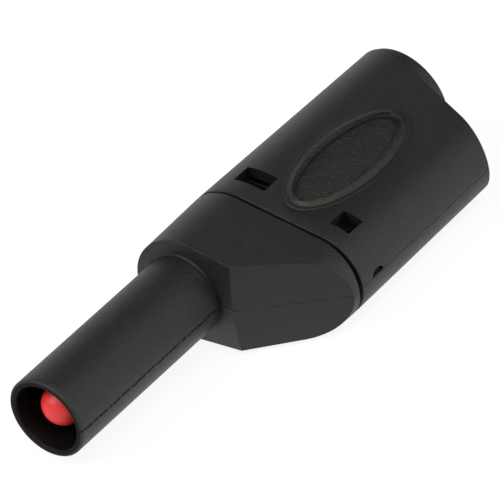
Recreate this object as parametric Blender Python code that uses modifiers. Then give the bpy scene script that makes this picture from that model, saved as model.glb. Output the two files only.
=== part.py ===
"""Stackable 4 mm banana plug with a fixed shroud, a stacking socket behind and an oblique cable outlet.

Every piece is laid out in the plug frame: X points to the cable side, Y runs rearward along the plug
axis from the shroud's mouth, and Z is up. The plug_frame empty rolls it on to its lower wide face.
"""

import math

import bmesh
import bpy
from mathutils import Matrix, Vector

MM = 0.001

# Shroud tube
SHROUD_RADIUS = 4.18 * MM
SHROUD_BASE_RADIUS = 4.08 * MM
SHROUD_BORE_RADIUS = 3.42 * MM
SHROUD_RIM_ROUNDING = 0.22 * MM
SHROUD_MOUTH_CHAMFER = 0.20 * MM
SHROUD_BORE_DEPTH = 20.5 * MM
BASE_GROOVE_WIDTH = 0.14 * MM
BASE_GROOVE_DEPTH = 0.12 * MM

# Outer form of the body: a round plug side and a smaller round cable side joined by flat faces
FRONT_FACE_Y = 20.97 * MM
SEAM_Y = 29.1 * MM
SEAM_GAP = 0.24 * MM
PLUG_SIDE_RADIUS = 5.63 * MM
CABLE_SIDE_RADIUS = 4.52 * MM
CABLE_SIDE_X = 9.62 * MM
FRONT_TAPER = 0.0190
REAR_TAPER = 0.0189
RIM_CHAMFER = 0.12 * MM

# Slanted nose of the front housing
SLANT_START_X = 5.61 * MM
SLANT_SLOPE = 0.836
MOULD_DRAFT = 0.081
NOSE_ROUNDING = 0.14 * MM

# Rear end of the cover
COVER_END_Y = 54.28 * MM
REAR_PLANE_Y = 54.64 * MM
REAR_SLOPE = 0.386
REAR_ROUNDING = 0.16 * MM
TURRET_STEP = 0.63 * MM
TURRET_WALL = 0.70 * MM
TURRET_END_Y = 54.66 * MM
TURRET_ROUNDING = 0.10 * MM

# Walls and the snap fit
HOUSING_WALL = 1.50 * MM
COVER_WALL = 1.20 * MM
SNAP_CLEARANCE = 0.12 * MM
TONGUE_THICKNESS = 0.75 * MM
TONGUE_START_Y = 27.2 * MM
TONGUE_END_Y = 33.00 * MM
SLOT_CLEARANCE = 0.15 * MM
SLOT_STEP = 0.04 * MM
PLUG_TONGUE = (-2.2 * MM, 2.7 * MM)
CABLE_TONGUE = (9.4 * MM, 11.9 * MM)
PLUG_WINDOW = (-1.55 * MM, 2.00 * MM)
CABLE_WINDOW = (9.60 * MM, 11.55 * MM)
WINDOW_START = 2.30 * MM
WINDOW_LENGTH = 2.12 * MM
PLUG_HOOK = (-1.25 * MM, 1.85 * MM)
CABLE_HOOK = (9.85 * MM, 11.30 * MM)
PLUG_HOOK_HEIGHT = 0.30 * MM
CABLE_HOOK_HEIGHT = 1.12 * MM
HOOK_CREST = 1.10 * MM
HOOK_LENGTH = 1.30 * MM
HOOK_PLAY = 0.30 * MM

# Oval thumb grip on each wide face
GRIP_FROM_SEAM = 10.25 * MM
GRIP_X = 5.42 * MM
GRIP_LENGTH = 17.0 * MM
GRIP_WIDTH = 7.88 * MM
GRIP_HEIGHT = 0.45 * MM
GRIP_FIELD_HEIGHT = 0.06 * MM
GRIP_FIELD_LENGTH = 13.4 * MM
GRIP_FIELD_WIDTH = 5.4 * MM
GRIP_CREST_IN = 0.70
GRIP_CREST_OUT = 0.88

# Rear socket cavity and cable way
SOCKET_FLOOR_Y = 33.6 * MM
CHAMBER_END_Y = 32.2 * MM
SLOT_END_Y = 33.25 * MM
WIRE_POCKET_X = 5.0 * MM
WIRE_POCKET_END_Y = 35.2 * MM
CABLE_WAY_X = 9.5 * MM
CABLE_WAY_RADIUS = 3.10 * MM
OUTLET_CHAMFER = 0.35 * MM

# Half-moon scoop that the moulding gate leaves above the parting line, on the cover's cable side
GATE_FROM_SEAM = 2.80 * MM
GATE_Z = 0.12 * MM
GATE_HALF_LENGTH = 1.22 * MM
GATE_RISE = 0.76 * MM
GATE_DEPTH = 0.35 * MM
GATE_STEPS = 16

# Plug pin, from its nose rearward
NOSE_START_Y = 2.1 * MM
NOSE_RADIUS = 1.10 * MM
SPRING_SEAT_Y = 3.95 * MM
SPRING_SEAT_RADIUS = 1.55 * MM
SHOULDER_Y = 16.3 * MM
PIN_RADIUS = 1.95 * MM
COLLAR_Y = 22.5 * MM
COLLAR_THICKNESS = 1.8 * MM
COLLAR_FLATS = 6.0 * MM
COLLAR_RECESS = 0.7 * MM
BULKHEAD_BORE_RADIUS = 2.25 * MM
SHANK_END_Y = 32.0 * MM
STACK_GAP = 0.10 * MM
FIT_CLEARANCE = 0.05 * MM

# Lantern spring
SPRING_START_Y = 4.05 * MM
SPRING_END_Y = 16.2 * MM
SPRING_BAND_RADIUS = 1.70 * MM
SPRING_BULGE = 0.42 * MM
SPRING_THICKNESS = 0.14 * MM
SPRING_BAND_LENGTH = 1.0 * MM
SPRING_RIBS = 8
SPRING_SLOT_WIDTH = 0.55 * MM

# Insulating tip
TIP_RADIUS = 2.02 * MM
TIP_START_Y = 0.60 * MM
TIP_DOME_LENGTH = 1.90 * MM

# Terminal block
PLATE_THICKNESS = 2.5 * MM
PLATE_CLEARANCE = 0.44 * MM
EYE_WALL = 1.10 * MM
BARREL_X = 7.7 * MM
BARREL_RADIUS = 2.45 * MM
BARREL_END_Y = 34.6 * MM
WIRE_BORE_RADIUS = 1.50 * MM
WIRE_BORE_DEPTH = 6.0 * MM
BLOCK_CHAMFER = 0.15 * MM
BLOCK_CLEARANCE = 0.20 * MM

# Clamp screw
SCREW_Y = 31.6 * MM
SCREW_RADIUS = 1.23 * MM
SCREW_TIP_Z = 1.30 * MM
SCREW_LENGTH = 1.75 * MM
SCREW_SLOT_WIDTH = 0.45 * MM
SCREW_SLOT_DEPTH = 0.65 * MM

# Lock washer, rear socket and its sleeve
WASHER_OVERHANG = 0.10 * MM
WASHER_THICKNESS = 0.7 * MM
WASHER_CUT = 0.35 * MM
WASHER_RIM = 0.45 * MM
SOCKET_HEAD_LENGTH = 3.6 * MM
SOCKET_TUBE_WALL = 0.55 * MM
SOCKET_BORE_START_Y = 33.9 * MM
SOCKET_THREAD_END_Y = 32.4 * MM
SOCKET_END_Y = 53.2 * MM
SLEEVE_WALL = 0.45 * MM
SLEEVE_LEDGE = 0.28 * MM
SLEEVE_FLANGE_CLEARANCE = 0.16 * MM
SLEEVE_FLANGE_THICKNESS = 0.6 * MM
SLEEVE_END_WALL = 0.50 * MM
SLEEVE_LIP = 0.10 * MM

# Facets and margins
TUBE_STEPS = 56
SMALL_STEPS = 40
PLUG_ARC_STEPS = 27
CABLE_ARC_STEPS = 19
OVAL_STEPS = 48
OVERSHOOT = 2.0 * MM
MERGE = 0.00001

COLLAR_END_Y = COLLAR_Y + COLLAR_THICKNESS
PLATE_Y = COLLAR_END_Y + STACK_GAP
PLATE_END_Y = PLATE_Y + PLATE_THICKNESS
WASHER_Y = PLATE_END_Y + STACK_GAP
SOCKET_HEAD_Y = WASHER_Y + WASHER_THICKNESS + STACK_GAP
SOCKET_HEAD_END_Y = SOCKET_HEAD_Y + SOCKET_HEAD_LENGTH
SLEEVE_FLANGE_Y = SOCKET_HEAD_END_Y + STACK_GAP
POCKET_FLOOR_Y = COLLAR_Y - STACK_GAP + COLLAR_RECESS
HALF_TAPER = math.asin((PLUG_SIDE_RADIUS - CABLE_SIDE_RADIUS) / CABLE_SIDE_X)

# Radii that follow from the plug side inward, wall by wall
TURRET_RADIUS = PLUG_SIDE_RADIUS - TURRET_STEP
SOCKET_CAVITY_RADIUS = TURRET_RADIUS - TURRET_WALL
STACK_ROOM_RADIUS = PLUG_SIDE_RADIUS - COVER_WALL - SNAP_CLEARANCE - TONGUE_THICKNESS
PLATE_RADIUS = STACK_ROOM_RADIUS - PLATE_CLEARANCE
SHANK_RADIUS = PLATE_RADIUS - EYE_WALL - 2 * FIT_CLEARANCE
WASHER_RADIUS = PLATE_RADIUS + WASHER_OVERHANG
SOCKET_HEAD_FLATS = 2 * (WASHER_RADIUS - WASHER_RIM)
SLEEVE_FLANGE_RADIUS = STACK_ROOM_RADIUS - SLEEVE_FLANGE_CLEARANCE
SLEEVE_RADIUS = SLEEVE_FLANGE_RADIUS - SLEEVE_LEDGE
SOCKET_TUBE_RADIUS = SLEEVE_RADIUS - SLEEVE_WALL - FIT_CLEARANCE
SOCKET_BORE_RADIUS = SOCKET_TUBE_RADIUS - SOCKET_TUBE_WALL
SLEEVE_MOUTH_RADIUS = SOCKET_BORE_RADIUS + SLEEVE_LIP


# Scene set-up

def clear_scene():
    for old in list(bpy.data.objects):
        bpy.data.objects.remove(old, do_unlink=True)


def new_collection(name):
    collection = bpy.data.collections.new(name)
    bpy.context.scene.collection.children.link(collection)
    return collection


clear_scene()
PARTS = new_collection("stackable_banana_plug")
CUTTERS = new_collection("cutters")
CUTTERS.hide_render = True


def make_frame():
    """The empty that carries the plug: rolled on to the lower wide face and set on the ground."""
    frame = bpy.data.objects.new("plug_frame", None)
    PARTS.objects.link(frame)
    crest_length = GRIP_LENGTH + (GRIP_FIELD_LENGTH - GRIP_LENGTH) * GRIP_CREST_IN
    crest_front = GRIP_FROM_SEAM - crest_length / 2
    right = CABLE_SIDE_X * math.cos(HALF_TAPER) + CABLE_SIDE_RADIUS
    frame.rotation_euler = (0, HALF_TAPER, 0)
    frame.location = (
        (PLUG_SIDE_RADIUS - right) / 2,
        -TURRET_END_Y / 2,
        PLUG_SIDE_RADIUS - REAR_TAPER * crest_front + GRIP_HEIGHT,
    )
    return frame


FRAME = make_frame()


def material(name, colour, roughness, metallic=0.0):
    made = bpy.data.materials.new(name)
    made.use_nodes = True
    shader = made.node_tree.nodes["Principled BSDF"]
    shader.inputs["Base Color"].default_value = (*colour, 1.0)
    shader.inputs["Roughness"].default_value = roughness
    shader.inputs["Metallic"].default_value = metallic
    return made


def place(name, mesh, finish=None):
    """A part when it has a finish, and otherwise a cutter."""
    made = bpy.data.objects.new(name, mesh)
    made.parent = FRAME
    if finish is None:
        CUTTERS.objects.link(made)
        made.hide_render = True
        made.display_type = "WIRE"
    else:
        PARTS.objects.link(made)
        mesh.materials.append(finish)
    return made


# Modelling helpers

def boolean(target, other, operation):
    modifier = target.modifiers.new(f"{operation.lower()}_{other.name}", "BOOLEAN")
    modifier.operation = operation
    modifier.solver = "EXACT"
    modifier.object = other


def cut(target, *cutters):
    for cutter in cutters:
        boolean(target, cutter, "DIFFERENCE")


def join(target, *others):
    for other in others:
        boolean(target, other, "UNION")


def keep_inside(target, other):
    boolean(target, other, "INTERSECT")


def round_edges(target, width, segments, degrees):
    modifier = target.modifiers.new("rounded_edges", "BEVEL")
    modifier.width = width
    modifier.segments = segments
    modifier.limit_method = "ANGLE"
    modifier.angle_limit = math.radians(degrees)


def mirror_down(target):
    modifier = target.modifiers.new("mirrored_below", "MIRROR")
    modifier.use_axis = (False, False, True)
    modifier.merge_threshold = MERGE


def turned(name, profile, finish=None, steps=TUBE_STEPS, centre_x=0.0, closed=False):
    """A profile of (radius, y) points, from the rear forward on its outer side, turned about an axis along Y."""
    mesh = bpy.data.meshes.new(name)
    points = [(radius, 0, y) for radius, y in profile]
    edges = [(i, i + 1) for i in range(len(points) - 1)]
    if closed:
        edges.append((len(points) - 1, 0))
    mesh.from_pydata(points, edges, [])
    made = place(name, mesh, finish)
    made.location = (centre_x, 0, 0)
    made.rotation_euler = (-math.pi / 2, 0, 0)
    turn_profile(made, steps)
    return made


def turn_profile(made, steps):
    screw = made.modifiers.new("turned", "SCREW")
    screw.axis = "Z"
    screw.steps = steps
    screw.render_steps = steps
    screw.use_merge_vertices = True
    screw.merge_threshold = MERGE
    screw.use_smooth_shade = True


def rod(name, radius, start_y, end_y, finish=None, steps=TUBE_STEPS, centre_x=0.0):
    profile = [(0, end_y), (radius, end_y), (radius, start_y), (0, start_y)]
    return turned(name, profile, finish, steps, centre_x)


def hexagon(name, flats, start_y, end_y, chamfer=0.0):
    """A hexagonal prism along Y with a flat side up."""
    mesh = bpy.data.meshes.new(name)
    shape = bmesh.new()
    radius = flats / 2 / math.cos(math.pi / 6)
    bmesh.ops.create_cone(
        shape, cap_ends=True, segments=6, radius1=radius, radius2=radius, depth=end_y - start_y
    )
    shape.to_mesh(mesh)
    shape.free()
    made = place(name, mesh)
    made.location = (0, (start_y + end_y) / 2, 0)
    made.rotation_euler = (-math.pi / 2, 0, 0)
    if chamfer:
        round_edges(made, chamfer, 1, 70)
    return made


def box(name, low, high):
    mesh = bpy.data.meshes.new(name)
    shape = bmesh.new()
    bmesh.ops.create_cube(shape, size=1.0)
    low, high = Vector(low), Vector(high)
    bmesh.ops.scale(shape, vec=high - low, verts=shape.verts)
    bmesh.ops.translate(shape, vec=(low + high) / 2, verts=shape.verts)
    shape.to_mesh(mesh)
    shape.free()
    return place(name, mesh)


def loft(name, rings, finish=None):
    """A closed skin over rings of points, each ring with as many points as the next."""
    mesh = bpy.data.meshes.new(name)
    shape = bmesh.new()
    rows = [[shape.verts.new(point) for point in ring] for ring in rings]
    for row, after in zip(rows, rows[1:]):
        for i in range(len(row)):
            j = (i + 1) % len(row)
            shape.faces.new((row[i], row[j], after[j], after[i]))
    shape.faces.new(rows[0])
    shape.faces.new(rows[-1])
    bmesh.ops.recalc_face_normals(shape, faces=shape.faces)
    shape.to_mesh(mesh)
    shape.free()
    return place(name, mesh, finish)


def extruded(name, outline, along):
    """A flat outline of points pushed along a vector."""
    mesh = bpy.data.meshes.new(name)
    shape = bmesh.new()
    face = shape.faces.new([shape.verts.new(point) for point in outline])
    grown = bmesh.ops.extrude_face_region(shape, geom=[face])
    moved = [item for item in grown["geom"] if isinstance(item, bmesh.types.BMVert)]
    bmesh.ops.translate(shape, vec=along, verts=moved)
    bmesh.ops.recalc_face_normals(shape, faces=shape.faces)
    shape.to_mesh(mesh)
    shape.free()
    return place(name, mesh)


# Body section

def side_growth(y):
    """How much larger both rounded sides are at y than at the seam."""
    taper = FRONT_TAPER if y < SEAM_Y else -REAR_TAPER
    return taper * (y - SEAM_Y)


def arc(centre_x, radius, start, end, steps):
    angles = [start + (end - start) * i / steps for i in range(steps + 1)]
    return [(centre_x + radius * math.cos(a), radius * math.sin(a)) for a in angles]


def body_ring(y, inset=0.0):
    """The body's outline at y, moved inward by the inset: two arcs joined by the flat wide faces."""
    plug_side = PLUG_SIDE_RADIUS + side_growth(y) - inset
    cable_side = CABLE_SIDE_RADIUS + side_growth(y) - inset
    turn = math.pi / 2 - HALF_TAPER
    outline = arc(CABLE_SIDE_X, cable_side, -turn, turn, CABLE_ARC_STEPS)
    outline += arc(0, plug_side, turn, 2 * math.pi - turn, PLUG_ARC_STEPS)
    return [(x, y, z) for x, z in outline]


def half_height(x, y, inset=0.0):
    """Height of the outline above the middle plane at (x, y)."""
    plug_side = PLUG_SIDE_RADIUS + side_growth(y) - inset
    cable_side = CABLE_SIDE_RADIUS + side_growth(y) - inset
    if x < plug_side * math.sin(HALF_TAPER):
        return math.sqrt(plug_side**2 - x**2)
    if x > CABLE_SIDE_X + cable_side * math.sin(HALF_TAPER):
        return math.sqrt(cable_side**2 - (x - CABLE_SIDE_X) ** 2)
    return (plug_side - x * math.sin(HALF_TAPER)) / math.cos(HALF_TAPER)


def body_prism(name, inset, start_y, end_y, finish=None):
    stations = [start_y, end_y]
    if start_y < SEAM_Y < end_y:
        stations.insert(1, SEAM_Y)
    return loft(name, [body_ring(y, inset) for y in stations], finish)


def nose_wedge(name, face_y, inset):
    """The space in front of the front face and of the slanted face, which is moved inward by the inset.

    Both faces lean back from the middle plane, as the mould's halves leave them.
    """
    far_x = CABLE_SIDE_X + CABLE_SIDE_RADIUS + OVERSHOOT
    near_x = -PLUG_SIDE_RADIUS - OVERSHOOT
    front_y = SHROUD_BORE_DEPTH / 2
    height = PLUG_SIDE_RADIUS + OVERSHOOT
    slant_zero_y = FRONT_FACE_Y + inset * math.hypot(1, SLANT_SLOPE)
    corner_x = SLANT_START_X + (face_y - slant_zero_y) / SLANT_SLOPE
    far_y = slant_zero_y + SLANT_SLOPE * (far_x - SLANT_START_X)
    outline = [(near_x, front_y), (near_x, face_y), (corner_x, face_y), (far_x, far_y), (far_x, front_y)]
    rings = []
    for level in (-height, 0, height):
        rings.append([(x, y + MOULD_DRAFT * abs(level), level) for x, y in outline])
    return loft(name, rings)


def snap_bands(name, outer_inset, thickness, end_y, margin):
    """Four strips under the wide faces, above and below the plug side and the cable side."""
    bands = loft(name, [body_ring(TONGUE_START_Y, outer_inset), body_ring(end_y, outer_inset)])
    inner_inset = outer_inset + thickness
    core_ends = (TONGUE_START_Y - OVERSHOOT, end_y + OVERSHOOT)
    core = loft(f"{name}_core", [body_ring(y, inner_inset) for y in core_ends])
    height = PLUG_SIDE_RADIUS + OVERSHOOT
    gap = box(
        f"{name}_gap",
        (PLUG_TONGUE[1] + margin, TONGUE_START_Y - OVERSHOOT, -height),
        (CABLE_TONGUE[0] - margin, end_y + OVERSHOOT, height),
    )
    span = box(
        f"{name}_span",
        (PLUG_TONGUE[0] - margin, TONGUE_START_Y - OVERSHOOT, -height),
        (CABLE_TONGUE[1] + margin, end_y + OVERSHOOT, height),
    )
    cut(bands, core, gap)
    keep_inside(bands, span)
    return bands


def snap_hook(name, span, height):
    """A pair of hooks, above and below: steep in front, with a ramp behind that the cover rides up."""
    front_y = SEAM_Y + WINDOW_START + HOOK_PLAY
    end_y = front_y + HOOK_LENGTH
    base = half_height(sum(span) / 2, front_y, COVER_WALL + SNAP_CLEARANCE)
    foot = base - TONGUE_THICKNESS / 2
    top = base + height
    outline = [(front_y, foot), (front_y, top), (front_y + HOOK_CREST, top), (end_y, base), (end_y, foot)]
    hook = extruded(name, [(span[0], y, z) for y, z in outline], (span[1] - span[0], 0, 0))
    mirror_down(hook)
    return hook


def snap_window(name, span):
    """A pair of windows through the cover's wall, above and below."""
    start_y = SEAM_Y + WINDOW_START
    outer = min(half_height(x, start_y) for x in span)
    floor = outer - COVER_WALL - SNAP_CLEARANCE - TONGUE_THICKNESS / 4
    window = box(
        name, (span[0], start_y, floor), (span[1], start_y + WINDOW_LENGTH, outer + OVERSHOOT)
    )
    mirror_down(window)
    return window


# Front housing: shroud, bulkhead, slanted nose and snap tongues in one moulding

def shroud_outside():
    rim = SHROUD_RIM_ROUNDING
    profile = [(0, POCKET_FLOOR_Y), (SHROUD_BASE_RADIUS, POCKET_FLOOR_Y), (SHROUD_RADIUS, rim)]
    for i in range(1, 5):
        angle = math.pi / 8 * i
        profile.append(
            (SHROUD_RADIUS - rim * (1 - math.cos(angle)), rim * (1 - math.sin(angle)))
        )
    profile.append((0, 0))
    return turned("shroud_outside", profile)


def shroud_bore():
    """The ring cavity and, behind its floor, the bore through the bulkhead."""
    lip = SHROUD_MOUTH_CHAMFER
    profile = [
        (0, POCKET_FLOOR_Y + OVERSHOOT),
        (BULKHEAD_BORE_RADIUS, POCKET_FLOOR_Y + OVERSHOOT),
        (BULKHEAD_BORE_RADIUS, SHROUD_BORE_DEPTH),
        (SHROUD_BORE_RADIUS, SHROUD_BORE_DEPTH),
        (SHROUD_BORE_RADIUS, lip),
        (SHROUD_BORE_RADIUS + lip / 2, 0),
        (SHROUD_BORE_RADIUS + lip / 2, -OVERSHOOT),
        (0, -OVERSHOOT),
    ]
    return turned("shroud_bore", profile)


def base_groove():
    """The witness groove round the foot of the shroud."""
    inner = SHROUD_BASE_RADIUS - BASE_GROOVE_DEPTH / 2
    outer = SHROUD_BASE_RADIUS + BASE_GROOVE_WIDTH
    floor_y = FRONT_FACE_Y + BASE_GROOVE_DEPTH
    front_y = FRONT_FACE_Y - BASE_GROOVE_DEPTH
    profile = [(outer, floor_y), (outer, front_y), (inner, front_y), (inner, floor_y)]
    return turned("base_groove", profile, closed=True)


def front_housing(finish):
    rings = [
        body_ring(SHROUD_BORE_DEPTH - OVERSHOOT),
        body_ring(SEAM_Y - RIM_CHAMFER),
        body_ring(SEAM_Y, RIM_CHAMFER),
    ]
    housing = loft("front_housing", rings, finish)
    cut(housing, nose_wedge("nose_wedge", FRONT_FACE_Y, 0.0))
    round_edges(housing, NOSE_ROUNDING, 2, 50)
    pocket = body_prism("housing_pocket", HOUSING_WALL, SHROUD_BORE_DEPTH, SEAM_Y + OVERSHOOT)
    cut(pocket, nose_wedge("pocket_wedge", POCKET_FLOOR_Y, HOUSING_WALL))
    cut(housing, pocket)
    tongues = snap_bands(
        "snap_tongues", COVER_WALL + SNAP_CLEARANCE, TONGUE_THICKNESS, TONGUE_END_Y, 0.0
    )
    hooks = (
        snap_hook("plug_side_hooks", PLUG_HOOK, PLUG_HOOK_HEIGHT),
        snap_hook("cable_side_hooks", CABLE_HOOK, CABLE_HOOK_HEIGHT),
    )
    join(housing, tongues, *hooks)
    join(housing, shroud_outside())
    recess = hexagon(
        "collar_recess",
        COLLAR_FLATS + 2 * STACK_GAP,
        COLLAR_Y - STACK_GAP,
        POCKET_FLOOR_Y + OVERSHOOT,
    )
    cut(housing, shroud_bore(), base_groove(), recess)
    return housing


# Rear cover: shell, turret, socket cavity, cable way, windows and thumb grips

def grip_pad(name, side):
    """An oval pad with a raised rim, lying on the upper (side 1) or lower (side -1) wide face."""
    centre_y = SEAM_Y + GRIP_FROM_SEAM
    level = PLUG_SIDE_RADIUS + side_growth(centre_y)
    across = Vector((math.cos(HALF_TAPER), 0, -side * math.sin(HALF_TAPER)))
    out = Vector((math.sin(HALF_TAPER), 0, side * math.cos(HALF_TAPER)))
    along = (Vector((0, 1, 0)) - REAR_TAPER * out).normalized()
    out = (out + REAR_TAPER * Vector((0, 1, 0))).normalized()
    centre = Vector((0, centre_y, 0)) + out * level
    centre += across * (GRIP_X / math.cos(HALF_TAPER) - level * math.tan(HALF_TAPER))
    half = Vector((GRIP_WIDTH / 2, GRIP_LENGTH / 2))
    field = Vector((GRIP_FIELD_WIDTH / 2, GRIP_FIELD_LENGTH / 2))
    levels = (
        (half, -GRIP_HEIGHT),
        (half, 0.0),
        (half.lerp(field, GRIP_CREST_IN / 3), GRIP_HEIGHT * 0.50),
        (half.lerp(field, GRIP_CREST_IN), GRIP_HEIGHT),
        (half.lerp(field, GRIP_CREST_OUT), GRIP_HEIGHT),
        (half.lerp(field, 0.97), GRIP_HEIGHT * 0.5),
        (field, GRIP_FIELD_HEIGHT),
    )
    rings = []
    for size, height in levels:
        ring = []
        for i in range(OVAL_STEPS):
            angle = 2 * math.pi * i / OVAL_STEPS
            ring.append(
                centre
                + across * size.x * math.cos(angle)
                + along * size.y * math.sin(angle)
                + out * height
            )
        rings.append(ring)
    return loft(name, rings)


def rear_space():
    """The space behind the slanted rear face."""
    near_x = -PLUG_SIDE_RADIUS - OVERSHOOT
    far_x = CABLE_SIDE_X + CABLE_SIDE_RADIUS + OVERSHOOT
    height = PLUG_SIDE_RADIUS + OVERSHOOT
    back_y = COVER_END_Y + 3 * OVERSHOOT
    outline = [
        (near_x, REAR_PLANE_Y - REAR_SLOPE * near_x, -height),
        (far_x, REAR_PLANE_Y - REAR_SLOPE * far_x, -height),
        (far_x, back_y, -height),
        (near_x, back_y, -height),
    ]
    return extruded("rear_space", outline, (0, 0, 2 * height))


def turret():
    edge = TURRET_ROUNDING
    start_y = SOCKET_FLOOR_Y + OVERSHOOT
    profile = [(0, TURRET_END_Y)]
    for i in range(4):
        angle = math.pi / 6 * i
        profile.append(
            (TURRET_RADIUS - edge * (1 - math.sin(angle)), TURRET_END_Y - edge * (1 - math.cos(angle)))
        )
    profile += [(TURRET_RADIUS, start_y), (0, start_y)]
    return turned("turret", profile)


def wire_pocket():
    """Room for the wire barrel and its screw: the cable side of the inner outline."""
    pocket = body_prism("wire_pocket", COVER_WALL, SEAM_Y - OVERSHOOT, WIRE_POCKET_END_Y)
    height = PLUG_SIDE_RADIUS + OVERSHOOT
    plug_side = box(
        "wire_pocket_limit",
        (-PLUG_SIDE_RADIUS - OVERSHOOT, CHAMBER_END_Y, -height),
        (WIRE_POCKET_X, WIRE_POCKET_END_Y + OVERSHOOT, height),
    )
    cut(pocket, plug_side)
    return pocket


def outlet_flare():
    """The chamfer round the cable outlet, square to the slanted face."""
    depth = OUTLET_CHAMFER
    profile = [
        (0, depth),
        (CABLE_WAY_RADIUS + 2 * depth, depth),
        (CABLE_WAY_RADIUS - depth, -2 * depth),
        (0, -2 * depth),
    ]
    flare = turned("outlet_flare", profile, centre_x=CABLE_WAY_X)
    flare.location.y = REAR_PLANE_Y - REAR_SLOPE * CABLE_WAY_X
    flare.rotation_euler = (-math.pi / 2, 0, -math.atan(REAR_SLOPE))
    return flare


def gate_scoop():
    """Half an oval standing on the parting line, pushed square into the cable side."""
    centre_y = SEAM_Y + GATE_FROM_SEAM
    floor_x = CABLE_SIDE_X + CABLE_SIDE_RADIUS + side_growth(centre_y) - GATE_DEPTH
    outline = []
    for i in range(GATE_STEPS + 1):
        angle = math.pi * i / GATE_STEPS
        outline.append(
            (floor_x, centre_y + GATE_HALF_LENGTH * math.cos(angle), GATE_Z + GATE_RISE * math.sin(angle))
        )
    return extruded("gate_scoop", outline, (OVERSHOOT, 0, 0))


def rear_cover(finish):
    start_y = SEAM_Y + SEAM_GAP
    rings = [
        body_ring(start_y, RIM_CHAMFER),
        body_ring(start_y + RIM_CHAMFER),
        body_ring(COVER_END_Y),
    ]
    cover = loft("rear_cover", rings, finish)
    cut(cover, rear_space())
    round_edges(cover, REAR_ROUNDING, 3, 50)
    join(cover, turret(), grip_pad("upper_grip", 1), grip_pad("lower_grip", -1))
    cut(cover, wire_pocket())
    slots = snap_bands(
        "tongue_slots",
        COVER_WALL + SLOT_STEP,
        TONGUE_THICKNESS + SNAP_CLEARANCE + SLOT_CLEARANCE - SLOT_STEP,
        SLOT_END_Y,
        SLOT_CLEARANCE,
    )
    cavity = rod("socket_cavity", SOCKET_CAVITY_RADIUS, SOCKET_FLOOR_Y, TURRET_END_Y + OVERSHOOT)
    sleeve_hole = rod(
        "sleeve_hole",
        SLEEVE_RADIUS + FIT_CLEARANCE,
        CHAMBER_END_Y - OVERSHOOT,
        SOCKET_FLOOR_Y + OVERSHOOT,
    )
    cable_way = rod(
        "cable_way",
        CABLE_WAY_RADIUS,
        WIRE_POCKET_END_Y - OVERSHOOT,
        TURRET_END_Y + OVERSHOOT,
        steps=SMALL_STEPS,
        centre_x=CABLE_WAY_X,
    )
    cut(cover, slots, cavity, sleeve_hole, cable_way, outlet_flare(), gate_scoop())
    cut(cover, snap_window("plug_side_windows", PLUG_WINDOW), snap_window("cable_side_windows", CABLE_WINDOW))
    return cover


# Plug pin, its spring and its insulating tip

def plug_pin(finish):
    chamfer = FIT_CLEARANCE * 6
    profile = [
        (0, SHANK_END_Y),
        (SHANK_RADIUS - chamfer, SHANK_END_Y),
        (SHANK_RADIUS, SHANK_END_Y - chamfer),
        (SHANK_RADIUS, COLLAR_Y + COLLAR_THICKNESS / 2),
        (PIN_RADIUS, COLLAR_Y + COLLAR_THICKNESS / 2),
        (PIN_RADIUS, SHOULDER_Y + chamfer / 2),
        (PIN_RADIUS - chamfer / 2, SHOULDER_Y),
        (SPRING_SEAT_RADIUS, SHOULDER_Y),
        (SPRING_SEAT_RADIUS, SPRING_SEAT_Y),
        (NOSE_RADIUS, SPRING_SEAT_Y),
        (NOSE_RADIUS, NOSE_START_Y + chamfer),
        (NOSE_RADIUS - chamfer, NOSE_START_Y),
        (0, NOSE_START_Y),
    ]
    pin = turned("plug_pin", profile, finish, SMALL_STEPS)
    join(pin, hexagon("pin_collar", COLLAR_FLATS, COLLAR_Y, COLLAR_END_Y, SPRING_THICKNESS))
    return pin


def contact_spring(finish):
    """The lantern: a sleeve that bellies out between two end bands, slit into springy ribs."""
    belly = SPRING_END_Y - SPRING_START_Y - 2 * SPRING_BAND_LENGTH
    middle = [(SPRING_BAND_RADIUS, SPRING_START_Y)]
    steps = 8
    for i in range(steps + 1):
        share = i / steps
        swell = SPRING_BULGE * (1 - math.cos(2 * math.pi * share)) / 2
        middle.append((SPRING_BAND_RADIUS + swell, SPRING_START_Y + SPRING_BAND_LENGTH + belly * share))
    middle.append((SPRING_BAND_RADIUS, SPRING_END_Y))
    half = SPRING_THICKNESS / 2
    outer = [(radius + half, y) for radius, y in reversed(middle)]
    inner = [(radius - half, y) for radius, y in middle]
    spring = turned("contact_spring", outer + inner, finish, TUBE_STEPS, closed=True)
    cut(spring, spring_slots())
    return spring


def spring_slots():
    """One narrow block for each slot, standing round the axis."""
    mesh = bpy.data.meshes.new("spring_slots")
    shape = bmesh.new()
    inner = SPRING_SEAT_RADIUS - SPRING_THICKNESS
    outer = SPRING_BAND_RADIUS + SPRING_BULGE + OVERSHOOT / 2
    length = SPRING_END_Y - SPRING_START_Y - 2 * SPRING_BAND_LENGTH
    for i in range(SPRING_RIBS):
        block = bmesh.ops.create_cube(shape, size=1.0)["verts"]
        bmesh.ops.scale(shape, vec=(outer - inner, length, SPRING_SLOT_WIDTH), verts=block)
        bmesh.ops.translate(shape, vec=((outer + inner) / 2, 0, 0), verts=block)
        turn = 2 * math.pi * (i + 0.5) / SPRING_RIBS
        bmesh.ops.rotate(shape, cent=(0, 0, 0), matrix=Matrix.Rotation(turn, 3, "Y"), verts=block)
    shape.to_mesh(mesh)
    shape.free()
    slots = place("spring_slots", mesh)
    slots.location = (0, (SPRING_START_Y + SPRING_END_Y) / 2, 0)
    return slots


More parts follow.
